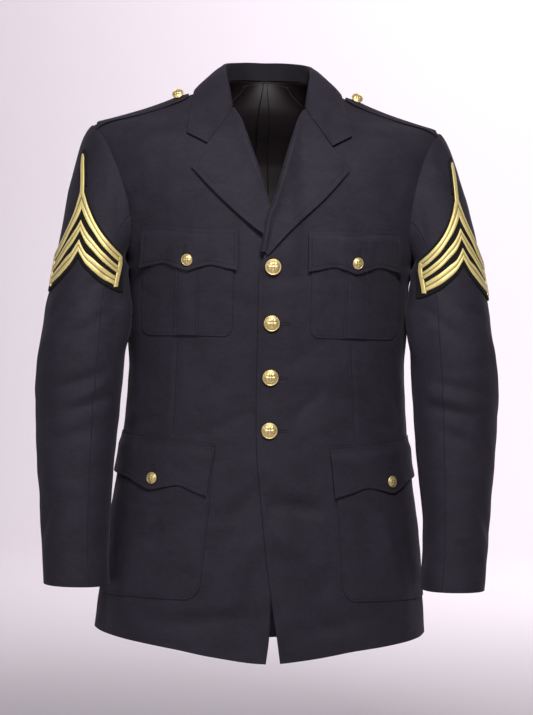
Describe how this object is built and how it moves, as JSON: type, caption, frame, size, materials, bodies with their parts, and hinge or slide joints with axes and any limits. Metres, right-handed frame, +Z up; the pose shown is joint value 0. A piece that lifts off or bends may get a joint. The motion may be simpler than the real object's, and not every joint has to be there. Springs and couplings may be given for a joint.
{
  "type": "military uniform jacket",
  "caption": "Dark navy dress uniform coat, filled out and hollow: notched collar, flap patch pockets, shoulder straps, gold buttons and gold sleeve chevrons",
  "frame": {"origin": "On the midline where a wearer's shoulders and neck would carry the coat, level with the neck end of the shoulder seams", "axes": "+Z up, -Y the way the front faces, +X the wearer's left"},
  "size_m": [0.6178, 0.2765, 0.8092],
  "materials": {
    "coat_cloth": "matte",
    "lining": "satin",
    "chevron_backing": "matte",
    "gold_braid": "satin",
    "gold_button": "polished"
  },
  "bodies": {
    "root": {"front_left": "coat_cloth", "back_left": "coat_cloth", "top_sleeve_left": "coat_cloth", "under_sleeve_left": "coat_cloth", "lapel_left": "coat_cloth", "strap_left": "coat_cloth", "breast_pocket_left": "coat_cloth", "breast_pleat_left": "coat_cloth", "breast_flap_left": "coat_cloth", "lower_pocket_left": "coat_cloth", "lower_flap_left": "coat_cloth", "chevron_back_left": "chevron_backing", "chevron_top_left": "gold_braid", "chevron_mid_left": "gold_braid", "chevron_low_left": "gold_braid", "button_strap_left": "gold_button", "button_breast_left": "gold_button", "button_lower_left": "gold_button", "front_right": "coat_cloth", "back_right": "coat_cloth", "top_sleeve_right": "coat_cloth", "under_sleeve_right": "coat_cloth", "lapel_right": "coat_cloth", "strap_right": "coat_cloth", "breast_pocket_right": "coat_cloth", "breast_pleat_right": "coat_cloth", "breast_flap_right": "coat_cloth", "lower_pocket_right": "coat_cloth", "lower_flap_right": "coat_cloth", "chevron_back_right": "chevron_backing", "chevron_top_right": "gold_braid", "chevron_mid_right": "gold_braid", "chevron_low_right": "gold_braid", "button_strap_right": "gold_button", "button_breast_right": "gold_button", "button_lower_right": "gold_button", "collar_fall": "coat_cloth", "collar_stand": "coat_cloth", "back_lining": "lining", "button_front_1": "gold_button", "button_front_2": "gold_button", "button_front_3": "gold_button", "button_front_4": "gold_button"}
  },
  "joints": []
}
